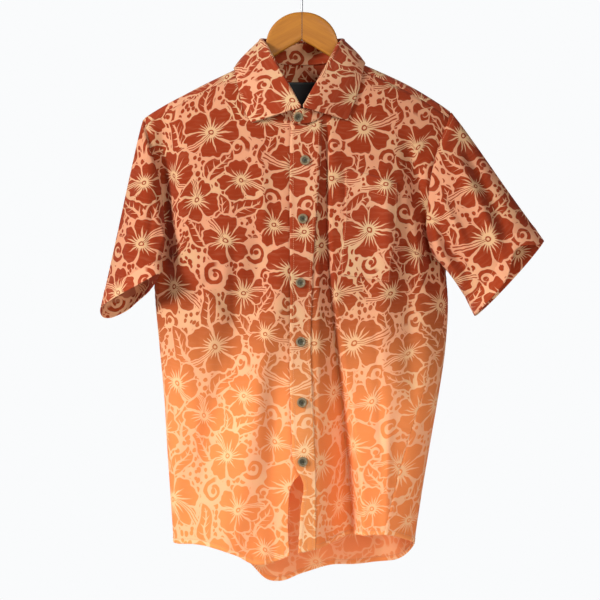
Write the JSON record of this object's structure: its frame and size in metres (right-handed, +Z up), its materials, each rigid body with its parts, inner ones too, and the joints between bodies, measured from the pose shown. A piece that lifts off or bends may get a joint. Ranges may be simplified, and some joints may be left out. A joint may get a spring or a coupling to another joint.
{
  "type": "hawaiian shirt on a wooden hanger",
  "caption": "Short-sleeved shirt with a turned-down collar, a buttoned front, a chest pocket and a curved hem, hanging on a wooden hanger with a wire hook.",
  "frame": {"origin": "inside top of the hook's bend, where the rail carries it", "axes": "+Z up, +X to the wearer's left, -Y to the wearer's front"},
  "size_m": [0.6636, 0.1571, 0.9509],
  "materials": {
    "printed_cotton": "plain-woven cotton printed with flowers, rust red to light orange on cream",
    "black_label": "woven satin",
    "coconut_shell": "polished shell",
    "varnished_wood": "clear varnish, satin",
    "steel_wire": "drawn and plated"
  },
  "bodies": {
    "root": {"back": "printed_cotton", "front_left": "printed_cotton", "front_right": "printed_cotton", "yoke": "printed_cotton", "sleeve_left": "printed_cotton", "sleeve_right": "printed_cotton", "collar": "printed_cotton", "collar_stand": "printed_cotton", "placket": "printed_cotton", "pocket": "printed_cotton", "neck_label": "black_label", "button_1": "coconut_shell", "button_2": "coconut_shell", "button_3": "coconut_shell", "button_4": "coconut_shell", "button_5": "coconut_shell", "button_6": "coconut_shell", "button_7": "coconut_shell", "hanger_left": "varnished_wood", "hanger_right": "varnished_wood", "hook": "steel_wire"}
  },
  "joints": []
}
